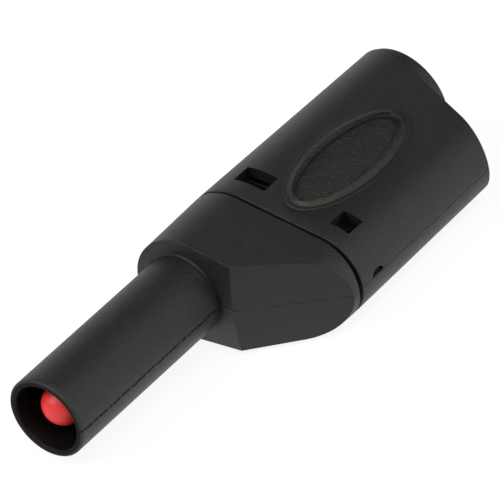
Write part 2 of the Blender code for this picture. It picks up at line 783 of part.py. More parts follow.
def pin_tip(finish):
    end_y = SPRING_SEAT_Y - FIT_CLEARANCE
    bore_start_y = NOSE_START_Y - FIT_CLEARANCE
    bore = NOSE_RADIUS + FIT_CLEARANCE
    profile = [(bore, end_y), (TIP_RADIUS, end_y)]
    arc_steps = 8
    for i in range(arc_steps):
        angle = math.pi / 2 * i / arc_steps
        profile.append(
            (
                TIP_RADIUS * math.cos(angle),
                TIP_START_Y + TIP_DOME_LENGTH * (1 - math.sin(angle)),
            )
        )
    profile += [(0, TIP_START_Y)]
    inside = [(0, bore_start_y), (bore, bore_start_y)]
    return turned("pin_tip", profile + inside, finish, SMALL_STEPS, closed=True)


# Terminal block, clamp screw and lock washer

def block_outline(y):
    lean = math.asin((PLATE_RADIUS - BARREL_RADIUS) / BARREL_X)
    turn = math.pi / 2 - lean
    outline = arc(BARREL_X, BARREL_RADIUS, -turn, turn, CABLE_ARC_STEPS)
    outline += arc(0, PLATE_RADIUS, turn, 2 * math.pi - turn, PLUG_ARC_STEPS)
    return [(x, y, z) for x, z in outline]


def block_corner():
    """The corner milled off the block, level with the slanted wall and clear of it at every height."""
    inset = HOUSING_WALL + BLOCK_CLEARANCE + MOULD_DRAFT * BARREL_RADIUS
    start_y = FRONT_FACE_Y + inset * math.hypot(1, SLANT_SLOPE)
    far_x = BARREL_X + 2 * BARREL_RADIUS
    far_y = start_y + SLANT_SLOPE * (far_x - SLANT_START_X)
    height = 2 * BARREL_RADIUS
    outline = [(SLANT_START_X, start_y, -height), (far_x, far_y, -height), (far_x, start_y, -height)]
    return extruded("block_corner", outline, (0, 0, 2 * height))


def terminal_block(finish):
    block = loft("terminal_block", [block_outline(PLATE_Y), block_outline(PLATE_END_Y)], finish)
    round_edges(block, BLOCK_CHAMFER, 1, 50)
    barrel_profile = [
        (0, BARREL_END_Y),
        (BARREL_RADIUS - 2 * BLOCK_CHAMFER, BARREL_END_Y),
        (BARREL_RADIUS, BARREL_END_Y - 2 * BLOCK_CHAMFER),
        (BARREL_RADIUS, PLATE_Y + PLATE_THICKNESS / 2),
        (0, PLATE_Y + PLATE_THICKNESS / 2),
    ]
    barrel = turned("wire_barrel", barrel_profile, steps=SMALL_STEPS, centre_x=BARREL_X)
    join(block, barrel)
    eye = rod("block_eye", SHANK_RADIUS + 2 * FIT_CLEARANCE, PLATE_Y - OVERSHOOT, PLATE_END_Y + OVERSHOOT)
    wire_bore = rod(
        "wire_bore",
        WIRE_BORE_RADIUS,
        BARREL_END_Y - WIRE_BORE_DEPTH,
        BARREL_END_Y + OVERSHOOT,
        steps=SMALL_STEPS,
        centre_x=BARREL_X,
    )
    radius = SCREW_RADIUS + FIT_CLEARANCE
    top_z = 2 * BARREL_RADIUS
    floor_z = WIRE_BORE_RADIUS / 4
    tapped = turned("tapped_hole", [(0, top_z), (radius, top_z), (radius, floor_z), (0, floor_z)])
    tapped.location = (BARREL_X, SCREW_Y, 0)
    tapped.rotation_euler = (0, 0, 0)
    cut(block, block_corner(), eye, tapped, wire_bore)
    return block


def clamp_screw(finish):
    """A headless slotted screw, standing on its own axis."""
    top = SCREW_TIP_Z + SCREW_LENGTH
    chamfer = SCREW_SLOT_WIDTH / 2
    profile = [
        (0, top),
        (SCREW_RADIUS - chamfer, top),
        (SCREW_RADIUS, top - chamfer),
        (SCREW_RADIUS, SCREW_TIP_Z + chamfer),
        (SCREW_RADIUS - chamfer, SCREW_TIP_Z),
        (0, SCREW_TIP_Z),
    ]
    screw = turned("clamp_screw", profile, finish, SMALL_STEPS)
    screw.location = (BARREL_X, SCREW_Y, 0)
    screw.rotation_euler = (0, 0, 0)
    slot = box(
        "screw_slot",
        (-2 * SCREW_RADIUS, -SCREW_SLOT_WIDTH / 2, top - SCREW_SLOT_DEPTH),
        (2 * SCREW_RADIUS, SCREW_SLOT_WIDTH / 2, top + OVERSHOOT),
    )
    slot.location = screw.location
    cut(screw, slot)
    return screw


def lock_washer(finish):
    inner = SHANK_RADIUS + 2 * FIT_CLEARANCE
    end_y = WASHER_Y + WASHER_THICKNESS
    profile = [(WASHER_RADIUS, end_y), (WASHER_RADIUS, WASHER_Y), (inner, WASHER_Y), (inner, end_y)]
    washer = turned("lock_washer", profile, finish, SMALL_STEPS, closed=True)
    gap = box(
        "washer_gap",
        (-WASHER_CUT / 2, WASHER_Y - OVERSHOOT, 0),
        (WASHER_CUT / 2, end_y + OVERSHOOT, 2 * WASHER_RADIUS),
    )
    cut(washer, gap)
    return washer


# Rear socket and its sleeve

def rear_socket(finish):
    tube = [
        (0, SOCKET_END_Y),
        (SOCKET_TUBE_RADIUS, SOCKET_END_Y),
        (SOCKET_TUBE_RADIUS, SOCKET_HEAD_Y),
        (0, SOCKET_HEAD_Y),
    ]
    socket = turned("rear_socket", tube, finish)
    head = hexagon("socket_head", SOCKET_HEAD_FLATS, SOCKET_HEAD_Y, SOCKET_HEAD_END_Y, SPRING_THICKNESS)
    join(socket, head)
    lip = BLOCK_CHAMFER
    contact_bore = [
        (0, SOCKET_END_Y + OVERSHOOT),
        (SOCKET_BORE_RADIUS + lip, SOCKET_END_Y + OVERSHOOT),
        (SOCKET_BORE_RADIUS + lip, SOCKET_END_Y),
        (SOCKET_BORE_RADIUS, SOCKET_END_Y - lip),
        (SOCKET_BORE_RADIUS, SOCKET_BORE_START_Y),
        (0, SOCKET_BORE_START_Y),
    ]
    thread = rod("socket_thread", SHANK_RADIUS + FIT_CLEARANCE, SOCKET_HEAD_Y - OVERSHOOT, SOCKET_THREAD_END_Y)
    cut(socket, turned("contact_bore", contact_bore), thread)
    return socket


def socket_sleeve(finish):
    inner = SOCKET_TUBE_RADIUS + FIT_CLEARANCE
    flange_end_y = SLEEVE_FLANGE_Y + SLEEVE_FLANGE_THICKNESS
    inner_end_y = SOCKET_END_Y + STACK_GAP
    end_y = inner_end_y + SLEEVE_END_WALL
    edge = SLEEVE_END_WALL / 2
    profile = [
        (SLEEVE_MOUTH_RADIUS, end_y),
        (SLEEVE_RADIUS - edge, end_y),
        (SLEEVE_RADIUS, end_y - edge),
        (SLEEVE_RADIUS, flange_end_y),
        (SLEEVE_FLANGE_RADIUS, flange_end_y),
        (SLEEVE_FLANGE_RADIUS, SLEEVE_FLANGE_Y),
        (inner, SLEEVE_FLANGE_Y),
        (inner, inner_end_y),
        (SLEEVE_MOUTH_RADIUS, inner_end_y),
    ]
    return turned("socket_sleeve", profile, finish, closed=True)


BLACK_PLASTIC = material("black_plastic", (0.018, 0.018, 0.017), 0.48)
RED_PLASTIC = material("red_plastic", (0.62, 0.03, 0.035), 0.35)
BLACK_INSULATOR = material("black_insulator", (0.014, 0.014, 0.014), 0.50)
NICKEL = material("nickel_plated_brass", (0.72, 0.69, 0.63), 0.22, 1.0)
SPRING_METAL = material("spring_metal", (0.78, 0.75, 0.70), 0.25, 1.0)
STEEL = material("zinc_plated_steel", (0.60, 0.61, 0.62), 0.30, 1.0)

front_housing(BLACK_PLASTIC)
rear_cover(BLACK_PLASTIC.copy())
plug_pin(NICKEL)
contact_spring(SPRING_METAL)
pin_tip(RED_PLASTIC)
terminal_block(NICKEL.copy())
clamp_screw(STEEL)
lock_washer(STEEL.copy())
rear_socket(NICKEL.copy())
socket_sleeve(BLACK_INSULATOR)
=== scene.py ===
"""Stackable shrouded 4 mm banana plug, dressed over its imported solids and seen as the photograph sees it."""

import math

import bmesh
import bpy
import numpy as np
from mathutils import Matrix, Vector


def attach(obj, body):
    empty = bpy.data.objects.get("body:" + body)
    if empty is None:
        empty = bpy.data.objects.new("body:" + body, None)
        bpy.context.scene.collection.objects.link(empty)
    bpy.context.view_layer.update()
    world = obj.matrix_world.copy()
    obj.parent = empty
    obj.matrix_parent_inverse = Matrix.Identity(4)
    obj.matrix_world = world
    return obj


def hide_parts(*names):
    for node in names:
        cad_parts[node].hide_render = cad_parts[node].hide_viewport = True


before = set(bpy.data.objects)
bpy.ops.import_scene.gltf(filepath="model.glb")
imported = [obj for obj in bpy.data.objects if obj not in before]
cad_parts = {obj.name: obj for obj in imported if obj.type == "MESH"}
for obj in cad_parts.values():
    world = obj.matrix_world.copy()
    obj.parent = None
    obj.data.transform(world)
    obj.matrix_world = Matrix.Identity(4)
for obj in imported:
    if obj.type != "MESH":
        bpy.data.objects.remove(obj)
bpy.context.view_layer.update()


# Camera. A long lens far off, so that the plug's long edges stay nearly parallel. It looks down on
# the plug from the side of its mouth and is rolled, which puts the axis across the frame's diagonal.

CAMERA_PLACE = (1.2186, -1.18816, 1.11934)
CAMERA_BACK = (0.59975, -0.58424, 0.54677)
CAMERA_ROLL = math.radians(-14.184)
LENS_MM = 1600.0

lens = bpy.data.cameras.new("long_lens")
lens.lens = LENS_MM
lens.sensor_width = 36.0
lens.clip_start = 0.1
lens.clip_end = 30.0
camera = bpy.data.objects.new("photo_camera", lens)
bpy.context.scene.collection.objects.link(camera)
level = Vector(CAMERA_BACK).to_track_quat("Z", "Y").to_matrix().to_4x4()
camera.matrix_world = Matrix.Translation(CAMERA_PLACE) @ level @ Matrix.Rotation(CAMERA_ROLL, 4, "Z")
bpy.context.scene.camera = camera
bpy.context.scene.view_settings.view_transform = "Standard"


# White studio: a matt white floor, a dim white surround and five soft lamps, which draw the long highlights.
# The strongest lights the plug's left from the mouth end. The floor shows white and keeps a faint shadow.

FLOOR_SIDE = 12.0
FLOOR_SHOWN = 0.90
FLOOR_PAINT = 0.15
ROOM_LEVEL = 0.16
WHITE = (1.0, 1.0, 1.0)


class Socket:
    """A shader value that can be used in a Python expression: each operator adds the Math node for it."""

    def __init__(self, tree, output):
        self.tree = tree
        self.output = output

    def math(self, operation, *others, clamp=False):
        made = self.tree.nodes.new("ShaderNodeMath")
        made.operation = operation
        made.use_clamp = clamp
        for slot, value in zip(made.inputs, (self, *others)):
            join(self.tree, slot, value)
        return Socket(self.tree, made.outputs[0])

    def __add__(self, other):
        return self.math("ADD", other)

    __radd__ = __add__

    def __sub__(self, other):
        return self.math("SUBTRACT", other)

    def __rsub__(self, other):
        made = self.tree.nodes.new("ShaderNodeMath")
        made.operation = "SUBTRACT"
        join(self.tree, made.inputs[0], other)
        join(self.tree, made.inputs[1], self)
        return Socket(self.tree, made.outputs[0])

    def __mul__(self, other):
        return self.math("MULTIPLY", other)

    __rmul__ = __mul__

    def __truediv__(self, other):
        return self.math("DIVIDE", other)

    def __pow__(self, other):
        return self.math("POWER", other)

    def __abs__(self):
        return self.math("ABSOLUTE")

    def held(self):
        """The value, kept between 0 and 1."""
        return self.math("ADD", 0.0, clamp=True)


def join(tree, slot, value):
    """Sets a socket to a number, a colour or a vector, or links it to a shader value."""
    if isinstance(value, Socket):
        tree.links.new(value.output, slot)
    elif slot.type == "RGBA" and len(value) == 3:
        slot.default_value = (*value, 1.0)
    else:
        slot.default_value = value


class Paint:
    """One material and the nodes in it."""

    def __init__(self, name):
        self.material = bpy.data.materials.new(name)
        self.material.use_nodes = True
        self.tree = self.material.node_tree
        self.tree.nodes.clear()

    def node(self, kind, settings=None, out=0, **sockets):
        """Adds a node of this type and makes its settings, then its sockets' values or links."""
        made = self.tree.nodes.new(f"ShaderNode{kind}")
        for name, value in (settings or {}).items():
            setattr(made, name, value)
        for name, value in sockets.items():
            slot = made.inputs[int(name[1:])] if name[1:].isdigit() else made.inputs[name.replace("_", " ")]
            join(self.tree, slot, value)
        return Socket(self.tree, made.outputs[out])

    def finish(self, shader):
        """Links the surface to the material's output."""
        end = self.tree.nodes.new("ShaderNodeOutputMaterial")
        self.tree.links.new(shader.output, end.inputs["Surface"])
        return self.material


def studio_floor_paint():
    paint = Paint("white_floor")
    matt = paint.node("BsdfDiffuse", Color=(FLOOR_PAINT,) * 3)
    shown = paint.node("Emission", Color=WHITE, Strength=FLOOR_SHOWN)
    both = paint.node("AddShader", _0=matt, _1=shown)
    white = paint.node("Emission", Color=WHITE, Strength=FLOOR_SHOWN)
    plain = paint.node("BsdfDiffuse", Color=(0.8, 0.8, 0.8))
    seen = paint.node("LightPath", out=0)
    mirrored = paint.node("LightPath", out=4)
    passed = paint.node("LightPath", out=5)
    away = paint.node("MixShader", _0=(mirrored + passed).held(), _1=plain, _2=white)
    return paint.finish(paint.node("MixShader", _0=seen, _1=away, _2=both))


def studio_floor():
    """A flat square on the ground: the corners of a 2 by 2 grid, scaled to the side."""
    half = FLOOR_SIDE / 2
    corners = np.stack(np.meshgrid([-half, half], [-half, half], [0.0]), -1).reshape(-1, 3)
    mesh = bpy.data.meshes.new("studio_floor")
    mesh.from_pydata(corners.tolist(), [], [(0, 1, 3, 2)])
    mesh.materials.append(studio_floor_paint())
    floor = bpy.data.objects.new("studio_floor", mesh)
    bpy.context.scene.collection.objects.link(floor)


def soft_lamp(name, place, size, power):
    """A square lamp at this place in metres, turned to the plug: its side in metres and its power in watts."""
    light = bpy.data.lights.new(name, "AREA")
    light.shape = "SQUARE"
    light.size = size
    light.energy = power
    lamp = bpy.data.objects.new(name, light)
    bpy.context.scene.collection.objects.link(lamp)
    lamp.matrix_world = Matrix.Translation(place) @ Vector(place).to_track_quat("Z", "Y").to_matrix().to_4x4()


def studio_surround():
    """White wherever the camera looks, and a plain white room for the light and the reflections."""
    world = bpy.data.worlds.new("white_surround")
    bpy.context.scene.world = world
    world.use_nodes = True
    tree = world.node_tree
    tree.nodes.clear()
    room = tree.nodes.new("ShaderNodeBackground")
    room.inputs["Color"].default_value = (*WHITE, 1.0)
    room.inputs["Strength"].default_value = ROOM_LEVEL
    shown = tree.nodes.new("ShaderNodeBackground")
    shown.inputs["Color"].default_value = (*WHITE, 1.0)
    path = tree.nodes.new("ShaderNodeLightPath")
    mixed = tree.nodes.new("ShaderNodeMixShader")
    end = tree.nodes.new("ShaderNodeOutputWorld")
    tree.links.new(path.outputs["Is Camera Ray"], mixed.inputs[0])
    tree.links.new(room.outputs[0], mixed.inputs[1])
    tree.links.new(shown.outputs[0], mixed.inputs[2])
    tree.links.new(mixed.outputs[0], end.inputs["Surface"])


studio_floor()
studio_surround()
soft_lamp("soft_lamp_front", (-0.55, -1.0, 1.05), 0.9, 14.0)
soft_lamp("soft_lamp_above", (0.5, -0.9, 1.45), 0.7, 5.0)
soft_lamp("soft_lamp_side", (0.9, -0.15, 1.35), 0.6, 9.5)
soft_lamp("soft_lamp_right", (1.15, 0.85, 0.24), 0.8, 6.2)
soft_lamp("soft_lamp_left", (-1.25, 0.85, 0.15), 1.1, 3.4)


# Front housing. One moulding in satin black plastic: the shroud tube, the bulkhead behind it, the slanted
# nose and four snap tongues. Spark-eroded mould steel leaves an even fine grain on its outside faces.

PLUG_SIDE, CABLE_SIDE, CABLE_X = 5.63, 4.52, 9.62
PLUG_ROLL = math.asin((PLUG_SIDE - CABLE_SIDE) / CABLE_X)
PLUG_PLACE = (-0.00422287, -0.02733, 0.00602311)
SEAM_Y = 29.1
FRONT_TAPER, REAR_TAPER = 0.0190, 0.0189
SHROUD, SHROUD_FOOT, SHROUD_BORE, SHROUD_FLOOR_Y = 4.18, 4.08, 3.42, 20.5
RIM_ROUNDING, MOUTH_RADIUS = 0.22, 3.54
PIN_HOLE, COLLAR_FLATS, COLLAR_Y = 2.25, 6.2, 22.4
NOSE_Y, SLANT_X, SLANT_SLOPE, NOSE_CROWN = 20.97, 5.61, 0.836, 0.0145
POCKET_FRONT_Y, POCKET_END_Y = 23.1, 25.0
HOUSING_END_Y, COVER_START_Y, SEAM_EDGE, COVER_EDGE = 29.12, 29.44, 0.03, 0.10
LIP_INSET = 0.5
COVER_WALL, HOUSING_WALL = 1.20, 1.50
TONGUE_SPANS = ((-2.2, 2.7), (9.4, 11.9))
TONGUE_PLAY, TONGUE_THICKNESS = 0.12, 0.75
PLUG_TONGUE_END_Y, CABLE_TONGUE_END_Y = 33.0, 33.9
HOOKS = ((-1.25, 1.85, 0.24), (9.78, 11.30, 1.00))
HOOK_FRONT, HOOK_LENGTH, HOOK_FALL = 2.60, 1.30, 0.45
SHELL_BLACK = (0.0066, 0.0066, 0.0060)
SHELL_SHEEN = (1.0, 1.0, 0.92)
HIDDEN_FROM = 29.13
SLIVER = 2e-6
PAST_LEFT, PAST_RIGHT, PAST_TOP = -9, 18, 8
PLUG_SIDE_END_X, LIP_START_Y = 5.0, 27.5


def in_place(points):
    """Plug frame in mm (x to the cable side, y rearward, z up) to the ground frame in metres."""
    turn = np.array(Matrix.Rotation(PLUG_ROLL, 3, "Y"))
    return points @ turn.T * 0.001 + np.array(PLUG_PLACE)


def skin(name, rows, closed=False):
    """A closed skin over a grid of points: every row is a ring, and rows i and i + 1 are joined by a band.

    The first and last rings are capped, or joined to each other when the grid is closed both ways.
    """
    count, around = rows.shape[:2]
    index = np.arange(count * around).reshape(count, around)
    ahead = np.roll(index, -1, axis=1)
    corners = [index, ahead, np.roll(ahead, -1, axis=0), np.roll(index, -1, axis=0)]
    bands = np.stack(corners, -1)[: count if closed else count - 1]
    faces = bands.reshape(-1, 4).tolist()
    if not closed:
        faces += [index[0, ::-1].tolist(), index[-1].tolist()]
    mesh = bpy.data.meshes.new(name)
    mesh.from_pydata(in_place(rows.reshape(-1, 3)).tolist(), [], faces)
    face_out = bmesh.new()
    face_out.from_mesh(mesh)
    bmesh.ops.recalc_face_normals(face_out, faces=face_out.faces)
    face_out.to_mesh(mesh)
    face_out.free()
    return mesh


def turned(name, profile, centre=(0.0, 0.0), steps=160, closed=False):
    """A profile of (radius, y) pairs turned about y: x = r cos a, z = r sin a, for a round the circle."""
    radius, y = np.array(profile, float).T
    angle = np.linspace(0, 2 * np.pi, steps, endpoint=False)
    x = centre[0] + radius[:, None] * np.cos(angle)
    z = centre[1] + radius[:, None] * np.sin(angle)
    return skin(name, np.stack([x, np.broadcast_to(y[:, None], x.shape), z], -1), closed)


def rounded(corner, start, end, radius, steps=5):
    """Points of a round corner: a quarter circle between two straight runs that meet squarely."""
    corner, start, end = (np.array(point, float) for point in (corner, start, end))
    to_start = (start - corner) / np.linalg.norm(start - corner)
    to_end = (end - corner) / np.linalg.norm(end - corner)
    angle = np.linspace(0, np.pi / 2, steps)[:, None]
    centre = corner + radius * (to_start + to_end)
    return (centre - radius * to_end * np.cos(angle) - radius * to_start * np.sin(angle)).tolist()


def body_rows(y, inset=0.0):
    """Rings of the body's outline at each y: two arcs joined by flats, each in a few columns.

    An arc's radius is its radius at the seam, less the taper times the distance from the seam, less the inset.
    """
    y = np.atleast_1d(np.asarray(y, float))[:, None]
    inset = np.broadcast_to(np.asarray(inset, float).reshape(-1, 1), y.shape)
    shrink = np.where(y < SEAM_Y, FRONT_TAPER * (SEAM_Y - y), REAR_TAPER * (y - SEAM_Y)) + inset
    turn = np.pi / 2 - PLUG_ROLL
    cable_arc = np.linspace(-turn, turn, 81)
    plug_arc = np.linspace(turn, 2 * np.pi - turn, 121)
    flat = np.linspace(0, 1, 14)[1:-1]
    cable_x, cable_z = CABLE_X + (CABLE_SIDE - shrink) * np.cos(cable_arc), (CABLE_SIDE - shrink) * np.sin(cable_arc)
    plug_x, plug_z = (PLUG_SIDE - shrink) * np.cos(plug_arc), (PLUG_SIDE - shrink) * np.sin(plug_arc)
    top_x = cable_x[:, -1:] * (1 - flat) + plug_x[:, :1] * flat
    top_z = cable_z[:, -1:] * (1 - flat) + plug_z[:, :1] * flat
    low_x = plug_x[:, -1:] * (1 - flat) + cable_x[:, :1] * flat
    low_z = plug_z[:, -1:] * (1 - flat) + cable_z[:, :1] * flat
    x = np.concatenate([cable_x, top_x, plug_x, low_x], 1)
    z = np.concatenate([cable_z, top_z, plug_z, low_z], 1)
    return np.stack([x, np.broadcast_to(y, x.shape), z], -1)


def body_height(x, y, inset=0.0):
    """Height of the body's outline over the middle plane at x on the flat or either arc."""
    shrink = (FRONT_TAPER * (SEAM_Y - y) if y < SEAM_Y else REAR_TAPER * (y - SEAM_Y)) + inset
    plug, cable = PLUG_SIDE - shrink, CABLE_SIDE - shrink
    if x < plug * math.sin(PLUG_ROLL):
        return math.sqrt(plug**2 - x**2)
    if x > CABLE_X + cable * math.sin(PLUG_ROLL):
        return math.sqrt(cable**2 - (x - CABLE_X) ** 2)
    return (plug - x * math.sin(PLUG_ROLL)) / math.cos(PLUG_ROLL)


def pushed(name, outline, start, end, axis):
    """A flat outline of (u, v) pairs pushed along x or z, from start to end."""
    outline = np.array(outline, float)
    rows = []
    for level in (start, end):
        filled = np.full(len(outline), float(level))
        columns = (filled, outline[:, 0], outline[:, 1]) if axis == "x" else (outline[:, 0], outline[:, 1], filled)
        rows.append(np.stack(columns, -1))
    return skin(name, np.array(rows))


def block(name, low, high):
    (x0, y0, z0), (x1, y1, z1) = low, high
    return pushed(name, [(x0, y0), (x1, y0), (x1, y1), (x0, y1)], z0, z1, "z")


def worked(name, mesh, *steps, crease=28):
    """A mesh after its cuts and joins, shaded smooth, with sharp edges where it turns by more than the crease.

    Points less than SLIVER (in metres) apart are joined, so that the cuts leave no stray faces.
    """
    scene = bpy.context.scene.collection
    piece = bpy.data.objects.new(name, mesh)
    scene.objects.link(piece)
    helpers = []
    for operation, other in steps:
        helper = bpy.data.objects.new(other.name, other)
        scene.objects.link(helper)
        helpers.append(helper)
        modifier = piece.modifiers.new(other.name, "BOOLEAN")
        modifier.operation = operation
        modifier.solver = "EXACT"
        modifier.object = helper
    made = bpy.data.meshes.new_from_object(piece.evaluated_get(bpy.context.evaluated_depsgraph_get()))
    for used in (piece, *helpers):
        bpy.data.objects.remove(used)
    made.name = name
    clean = bmesh.new()
    clean.from_mesh(made)
    bmesh.ops.remove_doubles(clean, verts=clean.verts, dist=SLIVER)
    bmesh.ops.dissolve_degenerate(clean, edges=clean.edges, dist=SLIVER)
    clean.to_mesh(made)
    clean.free()
    made.polygons.foreach_set("use_smooth", np.ones(len(made.polygons), bool))
    made.set_sharp_from_angle(angle=math.radians(crease))
    return made


def nose_space(name, face_y, inset):
    """The space before the front and slanted faces: y = face + crown * z^2, with a crease at the slant's start."""
    slant_y = NOSE_Y + inset * math.hypot(1, SLANT_SLOPE)
    corner_x = SLANT_X + (face_y - slant_y) / SLANT_SLOPE
    slant_end = (PAST_RIGHT, slant_y + SLANT_SLOPE * (PAST_RIGHT - SLANT_X))
    outline = np.array([(PAST_LEFT, 10), (PAST_LEFT, face_y), (corner_x, face_y), slant_end, (PAST_RIGHT, 10)])
    level = np.linspace(-PAST_TOP, PAST_TOP, 65)[:, None]
    x = np.broadcast_to(outline[:, 0], (len(level), len(outline)))
    return skin(name, np.stack([x, outline[:, 1] + NOSE_CROWN * level**2, np.broadcast_to(level, x.shape)], -1))


def tongue_strips(name, inset, thickness, end_y, margin):
    """Four strips under the wide faces: the band between two insets of the outline, kept on the tongues' spans."""
    (low, _), (_, high) = TONGUE_SPANS
    middle_low, middle_high = TONGUE_SPANS[0][1] + margin, TONGUE_SPANS[1][0] - margin
    return worked(
        name, skin(name, body_rows([27.2, end_y], inset)),
        ("DIFFERENCE", skin("strip_core", body_rows([26.0, end_y + 1], inset + thickness))),
        ("DIFFERENCE", block("strip_gap", (middle_low, 26.0, -PAST_TOP), (middle_high, end_y + 1, PAST_TOP))),
        ("INTERSECT", block("strip_span", (low - margin, 26.0, -PAST_TOP), (high + margin, end_y + 1, PAST_TOP))),
    )


def snap_hook(name, span, height, side):
    """A hook on a tongue: steep in front, a narrow crest, and a long ramp behind that ends in a small step."""
    front, end = SEAM_Y + HOOK_FRONT, SEAM_Y + HOOK_FRONT + HOOK_LENGTH
    base = body_height(sum(span) / 2, front, COVER_WALL + TONGUE_PLAY)
    root, top = base - 0.38, base + height
    ramp_end = top - min(HOOK_FALL, height - 0.02)
    outline = [
        (front, root), (front, top - 0.04), (front + 0.04, top), (front + 0.16, top),
        (end - 0.04, ramp_end), (end, ramp_end - 0.05), (end, root),
    ]
    return pushed(name, [(y, side * z) for y, z in outline], *span, "x")


def toward_cable_edge(x):
    """How far x is on the way to the cable side's edge, squared: 0 up to 11 mm, 1 from 14.2 mm."""
    return np.clip((x - 11.0) / 3.2, 0, 1) ** 2


def front_housing_mesh():
    rows = [18.5, 26.0, HOUSING_END_Y - 3 * SEAM_EDGE, HOUSING_END_Y - SEAM_EDGE, HOUSING_END_Y]
    rings = body_rows(rows, [0, 0, 0, 0.4 * SEAM_EDGE, SEAM_EDGE])
    rings[2:, :, 1] -= 0.16 * toward_cable_edge(rings[2:, :, 0])
    body = skin("housing_body", rings)
    lip = skin("seam_lip", body_rows([LIP_START_Y, COVER_START_Y - 0.01], LIP_INSET))
    pocket = worked(
        "housing_pocket", skin("housing_pocket", body_rows([20.5, SEAM_Y, SEAM_Y + 2], HOUSING_WALL)),
        ("DIFFERENCE", nose_space("pocket_front", POCKET_FRONT_Y, HOUSING_WALL)),
    )
    rim = [(3.96, 0.0), *rounded((SHROUD, 0.0), (3.0, 0.0), (SHROUD, 5.0), RIM_ROUNDING)[1:]]
    thinner = (SHROUD_FOOT - SHROUD) / POCKET_FRONT_Y
    levels = (1, 5, 9, 13, 16, 18, 19.4, 20.2, 20.6, 22.0, POCKET_FRONT_Y)
    outside = turned("shroud_outside", [*rim, *[(SHROUD + thinner * y, y) for y in levels]])
    mouth = [(MOUTH_RADIUS, -2), (MOUTH_RADIUS, 0.0), (SHROUD_BORE + 0.03, 0.10), (SHROUD_BORE, 0.2)]
    wall = [(SHROUD_BORE, y) for y in (3, 7, 11, 15, 18, SHROUD_FLOOR_Y)]
    bore = turned("shroud_bore", [*mouth, *wall, (PIN_HOLE, SHROUD_FLOOR_Y), (PIN_HOLE, POCKET_END_Y)])
    groove = ((0.14, 0.12), (0.14, -0.12), (-0.06, -0.12), (-0.06, 0.12))
    foot = [(SHROUD_FOOT + outward, NOSE_Y + rearward) for outward, rearward in groove]
    collar = COLLAR_FLATS / 2 / math.cos(math.pi / 6)
    hooks = [
        ("UNION", snap_hook(f"hook_{x0:.0f}_{side}", (x0, x1), height, side))
        for x0, x1, height in HOOKS for side in (1, -1)
    ]
    past_tongues = block(
        "plug_side_tongue_end", (PAST_LEFT, PLUG_TONGUE_END_Y, -PAST_TOP), (PLUG_SIDE_END_X, 36.0, PAST_TOP)
    )
    return worked(
        "front_housing_shell", body,
        ("UNION", lip),
        ("DIFFERENCE", nose_space("nose_front", NOSE_Y, 0.0)),
        ("DIFFERENCE", pocket),
        ("UNION", tongue_strips("tongues", COVER_WALL + TONGUE_PLAY, TONGUE_THICKNESS, CABLE_TONGUE_END_Y, 0.0)),
        *hooks,
        ("DIFFERENCE", past_tongues),
        ("UNION", outside),
        ("DIFFERENCE", bore),
        ("DIFFERENCE", turned("foot_groove", foot, closed=True)),
        ("DIFFERENCE", turned("collar_recess", [(collar, COLLAR_Y), (collar, POCKET_END_Y)], steps=6)),
    )


